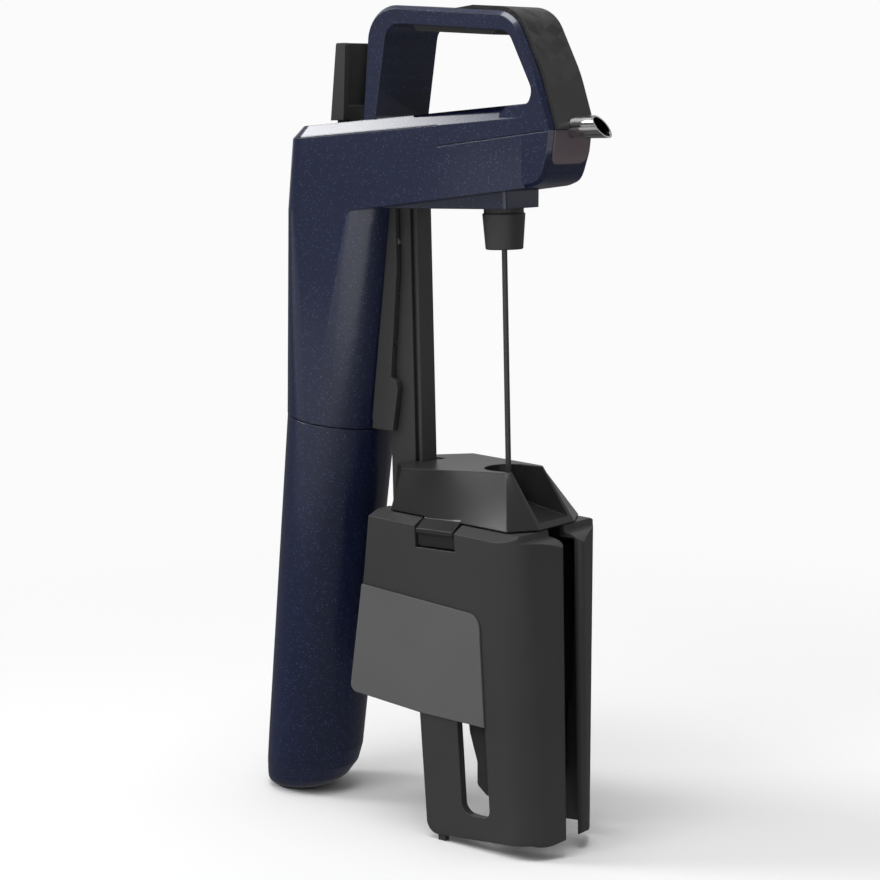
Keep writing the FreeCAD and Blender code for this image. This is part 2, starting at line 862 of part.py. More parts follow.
def build_housing():
    """The painted halves, the cover under the head, grip, liner, panel and screws."""
    outside = housing_outside()
    grip = front_skin(size.grip_proud, size.grip_sunk).common(grip_region())
    panel = front_skin(size.panel_proud, size.grip_sunk).common(panel_region())
    holes = [spout_hole(0.05), trigger_slot()]
    shell = outside.cut(housing_inside()).cut(grip).cut(panel).cut(holes)
    screws = [
        upright_rod(x, y, parting(x) - 7, arm_top(x) - 3.2, size.screw_radius)
        for x, y in screw_places()
    ]
    bosses = [
        upright_rod(x, y, under_seam(x) + 1.0, arm_top(x) - 1.5, size.screw_radius + 1.4)
        for x, y in screw_places()
    ]
    shell = shell.fuse(bosses).cut([rod.copy() for rod in screws])
    opening = float(size.hub_halfwidth) + 0.8
    floor_hole = Part.makeBox(
        2 * opening, 2 * opening, 12, Vector(-opening, -opening, size.arm_under_back - 2))
    hub_hole = floor_hole.common(below_parting())
    pin_half = arm_half(size.pivot_forward) - 1.2
    pivot = cross_rod(size.pivot_forward, size.pivot_height, pin_half, size.pivot_pin_radius)
    ears = pivot_ears(outside)
    bush = bush_solid()
    valve_room = upright_rod(
        size.valve_forward, 0, size.valve_low - 2, size.valve_top + 8, size.valve_radius + 0.3)
    lower = shell.common(below_parting()).cut([hub_hole, bush, valve_room, pivot] + ears)
    upper = shell.cut(below_parting(float(size.parting_gap))).fuse(ears).cut([pivot, bush])
    free_part("main_housing", single(lower))
    free_part("handle_housing", single(upper))
    trimmed = spout_hole(0.05)
    free_part("grip", single(grip.cut(trimmed)))
    free_part("front_panel", single(panel.cut(trimmed)))
    free_part("housing_screws", Part.makeCompound(screws))


def pivot_ears(outside):
    """Two ears that hang inside the arm's top and hold the trigger's pin."""
    inner = float(size.trigger_halfwidth) + float(size.slot_clearance) + 0.1
    width = arm_half(size.pivot_forward + 3.5) - 1.4 - inner
    ears = []
    for start in (inner, -inner - width):
        corner = Vector(size.pivot_forward - 3.5, start, size.pivot_height - 3.2)
        ears.append(Part.makeBox(7, width, 9, corner).common(outside))
    return ears


def bush_solid():
    """The space of the spout's bush inside the head's front wall."""
    start = Vector(size.head_front - 4.6 - size.bush_length, 0, size.spout_height)
    return Part.makeCylinder(size.bush_radius, size.bush_length, start, Vector(1, 0, 0))


def single(shape):
    """The shape's largest solid, with any crumbs of a boolean left out."""
    solids = sorted(shape.Solids, key=lambda solid: solid.Volume)
    return solids[-1].removeSplitter() if solids else shape


def boat(inset, low):
    """Upright block under the head with a flat nose, a little narrower at its foot."""
    half = float(size.under_halfwidth) - inset
    nose, stern = float(size.under_front) - inset, float(size.under_back) + inset
    sky = float(size.arm_under_back) + 15

    def level(height, draft):
        side = half - draft
        return rounded_wire(
            [(stern, side), (nose, side, 0.8), (nose, -side, 0.8), (stern, -side)],
            lambda a, b: Vector(a, b, height))

    return loft([level(low, float(size.under_draft)), level(sky, 0.0)])


def build_under_cover():
    """Boat-shaped cover under the head, hollow inside, with a round hole for the needle."""
    behind, far = float(size.arm_back) - 5, float(size.head_front) + 17
    low = float(size.under_bottom)
    roof = slab([
        (behind, low - 20), (far, low - 20), (far, under_seam(far)), (behind, under_seam(behind)),
    ], -20, 20)
    outer = boat(0.0, low).common(roof)
    wall = float(size.under_wall)
    hollow_back = float(size.under_back) + 6
    room = boat(wall, low + wall).common(slab([
        (hollow_back, low - 20), (far, low - 20), (far, low + 30), (hollow_back, low + 30)], -20, 20))
    hole = needle_hole(low - 10, low + 20, size.needle_radius + 0.02)
    housing = parts["main_housing"][0].Shape
    free_part("under_cover", single(outer.cut(room).cut(hole).cut(housing)))


def build_liner():
    """Soft strip let into the underside of the handle's bar."""
    bar = float(size.loop_bar_depth)
    back, front = -23.0, 5.0
    slope = float(size.loop_top_front - size.loop_top_back) / 47.5
    height = float(size.loop_top_back) - bar
    origin = float(size.loop_leg_top) - 1.6

    def under(x):
        return height + (x - origin) * slope * 0.97 + 0.28

    strip = slab([
        (back, under(back)), (front, under(front)), (front - 1.4, under(front) - size.liner_depth, 0.5),
        (back + 1.4, under(back) - size.liner_depth, 0.5),
    ], -size.liner_halfwidth, size.liner_halfwidth)
    free_part("grip_liner", single(strip.cut(parts["handle_housing"][0].Shape)))


# ---------------------------------------------------------------- needle, spout and gas path

def build_liquid_path():
    """Needle, its collar, seal and hub, the hose and the chromed spout."""
    collar_top = size.collar_low + size.collar_height
    hub_low = size.under_bottom + size.under_wall + 0.4
    hub_top = hub_low + size.hub_height
    length = hub_top - 3 - size.needle_tip
    needle = Part.makeCylinder(size.needle_radius, length, Vector(0, 0, size.needle_tip))
    bore = needle_hole(size.needle_tip - 1, hub_top, size.needle_bore)
    tip = size.needle_tip
    point = slab([
        (-5, tip - 4), (5, tip - 4), (5, tip + 2.4), (size.needle_radius, tip + 2.4),
        (-size.needle_radius, tip), (-5, tip),
    ], -5, 5)
    free_part("needle", single(needle.cut(bore).cut(point)))
    grip = size.needle_radius + 0.02
    turned_part("ferrule", [
        (grip, size.collar_low), (size.collar_low_radius - 0.25, size.collar_low),
        (size.collar_low_radius, size.collar_low + 0.25), (size.collar_rim_radius, collar_top - 0.2),
        (size.collar_rim_radius - 0.2, collar_top), (size.collar_neck_radius, collar_top),
        (size.collar_neck_radius, size.under_bottom), (grip, size.under_bottom),
    ])
    turned_part("needle_seal", tube_profile(grip, 2.4, hub_low - 0.4, hub_low))
    half = float(size.hub_halfwidth)
    block = Part.makeBox(2 * half, 2 * half, size.hub_height, Vector(-half, -half, hub_low))
    block = block.cut(needle_hole(hub_low - 1, hub_top - 3, grip))
    block = block.cut(needle_hole(hub_low, hub_top + 1, size.hose_radius - 0.5))
    gas = Part.makeCylinder(1.0, half, Vector(-half, 0, hub_low + size.gas_port_height), Vector(1, 0, 0))
    free_part("needle_hub", single(block.cut(gas)))
    bend = float(size.hose_bend)
    low, high = float(hub_top), float(size.spout_height)
    turn = min(bend, high - low - 0.5)
    end = float(size.spout_back)
    path = Part.Wire([
        Part.LineSegment(Vector(0, 0, low), Vector(0, 0, high - turn)).toShape(),
        Part.Arc(
            Vector(0, 0, high - turn),
            Vector(turn * (1 - math.sqrt(0.5)), 0, high - turn * (1 - math.sqrt(0.5))),
            Vector(turn, 0, high)).toShape(),
        Part.LineSegment(Vector(turn, 0, high), Vector(end + 0.6, 0, high)).toShape(),
    ])
    ring = Part.Wire([Part.Circle(Vector(0, 0, low), Vector(0, 0, 1), size.hose_radius).toShape()])
    free_part("wine_hose", path.makePipeShell([ring], True, True))
    build_spout()
    build_gas_line(hub_low + size.gas_port_height)


def build_spout():
    """Chromed tube cut at a slant, and the bush that holds it in the head."""
    length = float(size.spout_lip_low - size.spout_back)
    start = Vector(size.spout_back, 0, size.spout_height)
    ahead = Vector(1, 0, 0)
    stem = Part.makeCylinder(size.spout_stem_radius, length, start, ahead)
    step = Vector(size.spout_step, 0, size.spout_height)
    tube = stem.fuse(Part.makeCylinder(size.spout_radius, size.spout_lip_low - size.spout_step, step, ahead))
    inside = size.spout_stem_radius - size.spout_wall
    bore = Part.makeCylinder(inside, length - 1.2, start + ahead * 1.2, ahead)
    inlet = Part.makeCylinder(size.hose_radius + 0.02, 2, start, ahead)
    low, high = size.spout_height - size.spout_radius, size.spout_height + size.spout_radius
    slant = slab([
        (size.spout_lip_low, low), (size.spout_lip_low + 5, low - 3), (size.spout_lip_low + 5, high + 3),
        (size.spout_lip_high, high),
    ], -10, 10)
    free_part("spout_tube", single(tube.cut([bore, inlet, slant])))
    turned_part("spout_bush", tube_profile(
        size.spout_stem_radius + 0.02, size.bush_radius, 0.0, size.bush_length,
    ), moved(size.head_front - 4.6 - size.bush_length, 0, size.spout_height, Rotation(Vector(0, 1, 0), 90)))


def build_gas_line(height):
    """Gas pipe from the valve's side to the needle hub."""
    start = float(size.valve_forward) + float(size.valve_radius)
    end = -float(size.hub_halfwidth)
    turned_part("gas_tube", tube_profile(0.7, 1.5, 0.0, Size(end - start, f"{end - start:.6f}")),
                moved(start, 0, height, Rotation(Vector(0, 1, 0), 90)))


# ---------------------------------------------------------------- trigger and valve

def build_trigger():
    """Upright trigger behind the handle, its pin and its coil spring."""
    base = float(size.trigger_low)
    lean = float(size.trigger_back_top - size.trigger_back_low) / (float(size.trigger_top) - base)

    def back(height):
        return float(size.trigger_back_low) + (height - base) * lean

    def ahead(height):
        return back(height) + float(size.trigger_flange) + (float(size.trigger_top) - height) * 0.06

    top, low, foot = float(size.trigger_top), base + 0.7, float(size.pivot_height)
    outline = [
        (back(top), top, 0.6), (ahead(top), top, 0.6), (ahead(low), low), (back(low), low),
    ]
    half = float(size.trigger_halfwidth)
    wall = float(size.trigger_wall)
    fin = slab(outline, -half, half)
    trough = slab([
        (back(top) + wall, top + 1), (ahead(top) + 1, top + 1), (ahead(low) + 1, size.trigger_ledge),
        (back(float(size.trigger_ledge)) + wall, size.trigger_ledge),
    ], -half + wall, half - wall)
    pivot_x = float(size.pivot_forward)
    hub = float(size.trigger_hub)
    stem = slab([
        (back(low), low), (ahead(low), low), (pivot_x + 2.4, low - 2), (pivot_x + 2.4, foot),
        (pivot_x - 2.4, foot), (pivot_x - 2.4, low - 2),
    ], -4.2, 4.2)
    lever = slab([
        (pivot_x, foot + 1.6), (pivot_x + size.lever_reach, foot + 1.6, 0.6),
        (pivot_x + size.lever_reach, foot - 1.5, 0.6), (pivot_x, foot - 1.5),
    ], -2.4, 2.4)
    barrel = cross_rod(pivot_x, foot, 4.2, hub)
    hole = cross_rod(pivot_x, foot, 10, size.pivot_pin_radius + size.running_gap)
    solid = fin.cut(trough).fuse([stem, lever, barrel]).cut(hole)
    free_part("trigger", single(solid))
    inside = arm_half(size.pivot_forward) - 1.2
    turned_part("trigger_pin", [
        (0, -inside), (size.pivot_pin_radius, -inside), (size.pivot_pin_radius, inside), (0, inside),
    ], moved(pivot_x, 0, foot, Rotation(Vector(1, 0, 0), 90)))
    spring = coil(size.pivot_pin_radius + 0.9, float(size.trigger_spring_wire), 2.5, 2.6)
    free_part("trigger_spring", spring, moved(pivot_x, 4.75, foot, Rotation(Vector(1, 0, 0), -90)))


def build_valve():
    """Gas valve: body, plunger under the trigger's lever, and spring."""
    at = moved(size.valve_forward)
    low, top = size.valve_low, size.valve_top
    room = size.valve_radius - 0.9
    spring_floor = top - 10
    bore = size.plunger_radius + size.running_gap
    turned_part("valve_body", [
        (0, low), (size.valve_radius, low), (size.valve_radius, top), (room, top), (room, spring_floor),
        (bore, spring_floor), (bore, low + 5), (0, low + 5),
    ], at)
    lever_under = size.pivot_height - 1.5
    flange_low = top - 2.2
    turned_part("valve_plunger", [
        (0, low + 8), (size.plunger_radius, low + 8), (size.plunger_radius, flange_low),
        (size.plunger_flange, flange_low), (size.plunger_flange, flange_low + 1.4),
        (size.plunger_radius, flange_low + 1.4), (size.plunger_radius, lever_under - size.plunger_gap),
        (0, lever_under - size.plunger_gap),
    ], at)
    length = float(flange_low - spring_floor) - 0.1
    wire = float(size.valve_spring_wire)
    spring = coil(float(size.plunger_radius) + 0.75, wire, 5, length)
    free_part("valve_spring", spring, moved(size.valve_forward, 0, spring_floor + wire / 2 + 0.05))


# ---------------------------------------------------------------- rail

def rail_section():
    """Plan outline of the rail: web, groove and front flange."""
    half, neck = size.rail_halfwidth, size.rail_groove_halfwidth
    return [
        (size.rail_web_back, -half), (size.rail_web_front, -half), (size.rail_web_front, -neck),
        (size.rail_flange_back, -neck), (size.rail_flange_back, -half), (size.rail_front, -half),
        (size.rail_front, half), (size.rail_flange_back, half), (size.rail_flange_back, neck),
        (size.rail_web_front, neck), (size.rail_web_front, half), (size.rail_web_back, half),
    ]


def screw_heights():
    """Heights of the cross screws that hold the rail in its bracket, as (x, z)."""
    first_x, first_z = float(size.rail_screw_forward), float(size.rail_screw_low)
    shift, pitch = float(size.rail_screw_shift), float(size.rail_screw_pitch)
    return [(first_x + step * shift, first_z + step * pitch) for step in range(3)]


def build_rail():
    """Rail, its bracket on the column, cross screws and end stop."""
    top = float(size.under_bottom) - 0.05
    seam = float(size.seam_height)
    bar = plan(rail_section(), float(size.rail_low), top)
    behind = slab([
        (-70, 30), (-60, 30), (column_front(seam) + 0.05, seam), (column_front(top + 4) + 0.05, top + 4),
        (-70, top + 4),
    ], -20, 20)
    half = float(size.bracket_halfwidth)
    rods = [cross_rod(x, z, half - 0.8, size.screw_radius) for x, z in screw_heights()]
    holes = [rod.copy() for rod in rods]
    housing = parts["main_housing"][0].Shape
    free_part("rail", single(bar.cut(behind).cut(holes).cut(housing)))
    low = float(size.bracket_low)
    outline = [
        (column_front(seam + 1.2) + 0.05, seam + 1.2), (column_front(seam + 0.6) + 0.4, seam + 0.6),
        (column_front(low + 0.3) + 0.4, low + 0.3), (-36.0, low), (-33.8, 122.0, 1.0),
        (-34.3, 123.8), (-36.2, 124.9), (-33.2, 155.0, 20.0), (-33.2, top),
        (column_front(top) + 0.05, top),
    ]
    room = float(size.rail_halfwidth) + float(size.bracket_gap)
    slot = Part.makeBox(20, 2 * room, 80, Vector(float(size.rail_web_back) - 0.3, -room, 105))
    bracket = slab(outline, -half, half).cut(slot).cut(holes).cut(housing)
    free_part("rail_bracket", Part.makeCompound(bracket.Solids))
    free_part("rail_screws", Part.makeCompound(rods))
    stop_top = float(size.shoe_low) - 0.3
    rim = 0.8
    corner = Vector(size.rail_web_back - rim, -size.rail_halfwidth - rim, size.rail_low - 1.0)
    stop = Part.makeBox(
        size.rail_front - size.rail_web_back + 2 * rim, 2 * float(size.rail_halfwidth + rim),
        stop_top - corner.z, corner)
    free_part("rail_stop", single(stop.cut(bar)))


# ---------------------------------------------------------------- clamp block

def block_solid():
    """Block with straight-ruled sides, narrower on top than at its sloping foot."""
    top = float(size.block_top)
    half = float(size.block_halfwidth)
    nose = float(size.block_nose)
    upper = [(6.2, -7.1), (5.0, -7.9), (-24.2, -15.4), (-31.6, -8.6)]
    lower = [(nose, -8.0), (11.3, -half), (-28.1, -half), (-33.0, -8.6)]

    def ring(corners, height):
        right = [Vector(x, y, height(x)) for x, y in corners]
        left = [Vector(p.x, -p.y, p.z) for p in reversed(right)]
        return Part.makePolygon(right + left + right[:1])

    return Part.makeLoft([ring(lower, block_under), ring(upper, lambda x: top)], True, True)


def build_block():
    """Block with its needle notch, rail slots and hinge lugs, and what is set into it."""
    block = block_solid()
    boss_low = float(size.block_under) - 0.75
    boss = upright_rod(0, 0, boss_low, boss_low + 3, size.stop_radius)
    lugs = []
    for side in (-1, 1):
        x = float(size.hinge_forward)
        inner, edge = float(size.neck_radius) - 0.1, band_edge(x)
        half = float(size.block_halfwidth)
        lug = across([
            (side * inner, size.lug_low), (side * shell_side(size.lug_low, 0.6), size.lug_low),
            (side * shell_side(edge, 0.6), edge - 1.6), (side * shell_side(edge), edge - 1.4),
            (side * shell_side(edge), edge - 0.2), (side * half, block_under(x)),
            (side * (half - 0.6), block_under(x) + 0.9), (side * inner, block_under(x) + 0.9),
        ], x - float(size.lug_halfwidth), x + float(size.lug_halfwidth))
        lugs.append(lug)
    half = float(size.notch_halfwidth)
    floor = float(size.notch_floor)
    notch = slab([
        (0, floor + 1.4), (30, floor - 5.0), (30, 120), (0, 120),
    ], -half, half)
    well = upright_rod(0, 0, floor + 0.6, 120, half)
    rail_slot = Part.makeBox(
        float(size.shoe_front) + 40, 2 * float(size.shoe_halfwidth) + 0.04, 40,
        Vector(-40, -float(size.shoe_halfwidth) - 0.02, 80))
    bracket_half = float(size.bracket_halfwidth) + 0.4
    bracket_slot = Part.makeBox(10, 2 * bracket_half, 40, Vector(-40.6, -bracket_half, 80))
    pins = [
        upright_rod(
            size.hinge_forward, side * size.hinge_side, 60, size.hinge_pin_top, size.hinge_pin_radius)
        for side in (-1, 1)
    ]
    bush_radius = 2.6
    bush = needle_hole(80, floor + 0.61, bush_radius)
    solid = block.fuse([boss] + lugs).cut([notch, well, rail_slot, bracket_slot, bush] + pins)
    free_part("clamp_block", single(solid))
    turned_part("guide_bush", [
        (size.needle_radius + size.running_gap, boss_low), (bush_radius, boss_low),
        (bush_radius, size.notch_floor + 0.6),
        (size.needle_radius + 0.9, size.notch_floor + 0.6),
        (size.needle_radius + size.running_gap, size.notch_floor - 0.4),
    ])
    turned_part("neck_stop", tube_profile(
        3.2, size.stop_radius, boss_low - size.stop_thickness, Size(boss_low, f"{boss_low:.6f}")))
    clear = float(size.rail_clearance)
    claw_back = float(size.rail_web_front) + clear
    half = float(size.shoe_halfwidth)
    tall = float(size.block_top) - 0.3 - float(size.shoe_low)
    shoe = Part.makeBox(
        float(size.shoe_front) - claw_back, 2 * half, tall, Vector(claw_back, -half, size.shoe_low))
    flange = Part.makeBox(
        float(size.rail_front - size.rail_flange_back) + 2 * clear,
        2 * (float(size.rail_halfwidth) + clear), 80,
        Vector(float(size.rail_flange_back) - clear, -float(size.rail_halfwidth) - clear, 40))
    groove = Part.makeBox(
        6, 2 * (float(size.rail_groove_halfwidth) + clear), 80,
        Vector(float(size.rail_flange_back) - 5.5, -float(size.rail_groove_halfwidth) - clear, 40))
    free_part("carriage_shoe", single(shoe.cut([flange, groove])))


# ---------------------------------------------------------------- clamp arms

def shell_plan(height, inset=0.0):
    """Plan section of one clamp arm's outer form at a height, right-hand side."""
    side = shell_side(height, inset)
    crease = float(size.shell_crease) - inset * 0.55
    front = float(size.shell_front) - inset * 1.1
    slit = float(size.shell_slit) - (1.0 if inset else 0.0)
    soft, lip = (2.0, 0.4) if inset else (9.0, 1.4)
    outline = [(-50, -slit), (-50, -side), (crease, -side, soft), (front, -slit, lip)]
    return rounded_wire(outline, lambda a, b: Vector(a, b, height))


def arm_profile():
    """Side outline of a clamp arm: lever at the back, skirt in front."""
    top = float(size.shell_top_back)
    return [
        (top, 93.0, 1.5), (14.8, 91.0), (15.6, 85.6), (22.6, 84.7, 6.6), (22.6, 9.0, 5.0),
        (19.6, 2.4, 3.0),
        (15.4, size.shell_foot_height + 2.2), (size.shell_heel + 1.6, size.shell_foot_height, 3.5),
        (size.shell_heel + 1.4, 36.4), (size.lever_back_low, size.lever_low, 2.0),
        (size.lever_back_high, size.pad_top, 0.0), (size.lever_back_high + 0.7, size.pad_top + 3.0),
    ]


def band_edge(forward):
    """Height of the clamp's sloping band at its outer edge, at X."""
    return float(size.band_edge_height - forward * size.band_edge_slope)


def roof_section(forward, drop):
    """Cross outline at X of the space under the block, with the sloping band beside it."""
    ridge = block_under(forward) - drop
    edge, half = band_edge(forward), float(size.block_halfwidth)
    side = shell_side(edge)
    slope = (ridge - edge) / (side - half)
    outline = [
        (-30, edge - slope * (30 - side)), (-half, ridge), (-2, ridge), (-2, -10), (-30, -10),
    ]
    return Part.makePolygon([Vector(forward, y, z) for y, z in outline + outline[:1]])


def clamp_arm():
    """Right-hand clamp arm: outer shell, hinge knuckle, foot and slot."""
    wall = float(size.shell_wall)
    outer = loft([shell_plan(-2.0), shell_plan(95.0)])
    room = loft([shell_plan(-2.1, wall), shell_plan(95.0, wall)])
    ceiling = 84.2
    room = room.common(Part.makeBox(120, 60, ceiling + 10, Vector(-60, -30, -10)))
    profile = slab(arm_profile(), -40, 0)
    gap = float(size.part_gap)
    roof = loft([roof_section(-60.0, gap), roof_section(40.0, gap)])
    form = outer.common(profile).common(roof)
    x, y = float(size.hinge_forward), -float(size.hinge_side)
    knuckle = upright_rod(x, y, size.knuckle_low, size.lug_low - size.lug_gap, size.knuckle_radius)
    shell = form.cut(room).fuse(knuckle.common(form))
    lug_half = float(size.lug_halfwidth) + float(size.lug_gap)
    window = Part.makeBox(2 * lug_half, 30, 20, Vector(x - lug_half, -30, size.lug_low - size.lug_gap))
    bore = upright_rod(x, y, 60, 100, size.hinge_pin_radius + size.running_gap)
    neck = upright_rod(0, 0, -5, 120, size.neck_radius)
    middle = Part.makeBox(68, 11, 30, Vector(-60, -11, 83.0))
    slot = slab([
        (size.arm_slot_back, size.arm_slot_low, 3.2), (size.arm_slot_front, size.arm_slot_low, 2.4),
        (size.arm_slot_front, 40), (size.arm_slot_back, 40),
    ], -30, -6)
    recess = pad_recess()
    deck_cut = neck.common(Part.makeBox(60, 60, 12, Vector(-30, -30, 82)))
    throat = upright_rod(0, 0, -5, size.jaw_low + 3, size.throat_radius)
    solid = shell.cut([window, bore, deck_cut, middle, slot, recess, throat])
    heel, toe = size.nub_place - size.nub_width / 2, size.nub_place + size.nub_width / 2
    inner, outer = -shell_side(0, 2.0), -shell_side(0, 0.2)
    foot = plan([(heel, inner), (toe, inner), (toe, outer), (heel, outer)], 0.0, float(size.nub_drop) + 2.0)
    return single(solid.fuse(foot))


def pad_outline(shrink=0.0):
    """Side outline of a finger pad."""
    front = float(size.pad_front)
    return [
        (size.lever_back_high - 0.1, size.pad_top, 0), (front - 1.0, size.pad_top - 3.9, 3.6),
        (front - 1.2, 34.9),
        (size.shell_heel + 1.5, 35.8), (size.lever_back_low - 0.1, size.lever_low, 2.0),
    ]


def side_layer(outward, inward):
    """Layer along the clamp arm's slanted side, between two offsets from its face."""
    return across([
        (-shell_side(-5, -outward), -5), (-shell_side(95, -outward), 95),
        (-shell_side(95, inward), 95), (-shell_side(-5, inward), -5),
    ], -60, 40)


def pad_recess():
    """Shallow pocket in the clamp arm that the pad lies in."""
    depth = float(size.pad_thickness) - float(size.pad_proud)
    return slab(pad_outline(), -40, 0).common(side_layer(5.0, depth))


def finger_pad():
    """Right-hand grey finger pad."""
    depth = float(size.pad_thickness) - float(size.pad_proud)
    return single(slab(pad_outline(), -40, 0).common(side_layer(float(size.pad_proud), depth)))


def neck_jaw():
    """Right-hand rubber jaw: fills the arm's side and bears on the bottle's neck."""
    low, high, waist = float(size.jaw_low), float(size.jaw_high), float(size.jaw_waist)
    layer = side_layer(-float(size.shell_wall), 9.0)
    body = plan([(-9.5, -30), (10.5, -30), (8.5, -8.5), (-8.5, -8.5)], waist, high)
    finger = slab([
        (-4.0, waist + 1), (-3.6, waist - 5, 3.0), (-1.6, low + 9, 3.0), (-2.0, low + 2.6, 1.5),
        (1.0, low, 1.5), (7.5, low, 1.5), (8.0, waist + 1),
    ], -30, -8.5)
    bulk = layer.common(body.fuse(finger))
    grip = upright_rod(0, 0, low - 1, high + 1, size.jaw_grip_radius)
    hinge = upright_rod(size.hinge_forward, -size.hinge_side, 60, 90, size.knuckle_radius + 0.5)
    return single(bulk.cut([grip, hinge]))


def build_clamp_arms():
    """Both clamp arms with their pads, jaws, hinge pins and springs."""
    arm = clamp_arm()
    shapes = {"clamp_arm": arm, "finger_pad": finger_pad(), "neck_jaw": single(neck_jaw().cut(arm))}
    for name, shape in shapes.items():
        free_part(f"{name}_right", shape)
        free_part(f"{name}_left", single(mirrored(shape)))
    spring_x = (float(size.shoe_front) + float(size.rail_web_front)) / 2
    height = float(size.arm_spring_height)
    inner = float(size.shoe_halfwidth) + 0.02
    reach = shell_side(height, size.shell_wall) - inner - 0.25
    for side, name in ((-1, "right"), (1, "left")):
        low = size.knuckle_low - 1.5
        turned_part(f"hinge_pin_{name}", [
            (0, low), (size.hinge_pin_radius, low),
            (size.hinge_pin_radius, size.hinge_pin_top), (0, size.hinge_pin_top),
        ], moved(size.hinge_forward, side * size.hinge_side))
        wire = float(size.arm_spring_wire)
        spring = coil(size.arm_spring_radius, wire, 6, reach)
        free_part(f"arm_spring_{name}", spring,
                  moved(spring_x, side * (inner + wire / 2), height, Rotation(Vector(1, 0, 0), -90 * side)))


# ---------------------------------------------------------------- build, place, check, write

def place_all():
    """Set every sub-part in the standing frame, centred over its own footprint."""
    shapes = []
    for made, local in parts.values():
        made.Placement = STAND.multiply(local)
    doc.recompute()
    for made, _ in parts.values():
        shapes.append(made.Shape.optimalBoundingBox(True, False))
    low = min(box.XMin for box in shapes)
    high = max(box.XMax for box in shapes)
    centre = Vector(-(low + high) / 2, 0, 0)
    for made, local in parts.values():
        shift = Placement(centre, Rotation())
        made.Placement = shift.multiply(STAND).multiply(local)
    doc.recompute()
    print("standing frame", [round(value, 5) for value in centre + STAND.Base], "height",
          round(max(box.ZMax for box in shapes), 3), "lowest", round(min(box.ZMin for box in shapes), 3))


def check_all():
    """Stop if any object failed or any sub-part is not one valid shape."""
    for item in doc.Objects:
        if {"Invalid", "Error"} & set(item.State):
            raise ValueError(f"{item.Label} did not compute: {item.State}")
    for label, (made, _) in parts.items():
        if made.Shape.isNull() or not made.Shape.isValid() or not made.Shape.Solids:
            raise ValueError(f"{label} is not a valid solid")


def main():
    """Build every sub-part and write one STEP file for each."""
    build_capsule_group()
    build_regulator()
    build_housing()
    build_under_cover()
    build_liner()
    build_liquid_path()
    build_trigger()
    build_valve()
    build_rail()
    build_block()
    build_clamp_arms()
    doc.recompute()
    place_all()
    check_all()
    os.makedirs("parts", exist_ok=True)
    for label, (made, _) in parts.items():
        made.Shape.exportStep(os.path.join("parts", f"{label}.step"))
    print(len(parts), "sub-parts written")


main()
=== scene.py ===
"""Finishes, studio and camera for a hand-held wine dispenser that pours through a needle."""

import logging
import math
from collections.abc import Iterable, Mapping, Sequence
from dataclasses import dataclass
from enum import Enum
from typing import Any

import bpy
from mathutils import Matrix, Vector

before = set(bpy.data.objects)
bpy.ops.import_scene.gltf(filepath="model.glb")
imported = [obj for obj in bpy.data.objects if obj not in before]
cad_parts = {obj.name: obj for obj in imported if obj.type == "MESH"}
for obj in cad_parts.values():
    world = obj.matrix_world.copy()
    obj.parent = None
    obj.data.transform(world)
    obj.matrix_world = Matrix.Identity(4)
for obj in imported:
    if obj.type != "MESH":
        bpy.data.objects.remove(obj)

LOG = logging.getLogger("dispenser")
Colour = tuple[float, float, float]
Point = tuple[float, float, float]
Pair = tuple[float, float]

MM = 0.001
WHITE = (1.0, 1.0, 1.0, 1.0)
ORIGIN = (0.0, 0.0, 0.0)
MIDDLE = (0.5, 0.5, 0.5)
UNSTRETCHED = (1.0, 1.0, 1.0)

# Where a Mix node that is set to colours keeps its share, its two colours and its result.
MIX_SHARE, MIX_FIRST, MIX_SECOND = 0, 6, 7
MIX_RESULT = 2


@dataclass(frozen=True)
class Stance:
    """How the dispenser stands: its needle leans back a little from upright."""

    lean: float = math.radians(1.7)
    forward: float = 30.0886
    rise: float = 0.4509

    def point(self, place: Point) -> Vector:
        """The standing place, in metres, of a point in millimetres from the needle's foot."""
        x, y, z = place
        cos, sin = math.cos(self.lean), math.sin(self.lean)
        return Vector((x * cos - z * sin + self.forward, y, x * sin + z * cos + self.rise)) * MM

    def turn(self, way: Point) -> Vector:
        """The standing direction of a direction told along the needle."""
        return Matrix.Rotation(-self.lean, 3, "Y") @ Vector(way)


STANCE = Stance()


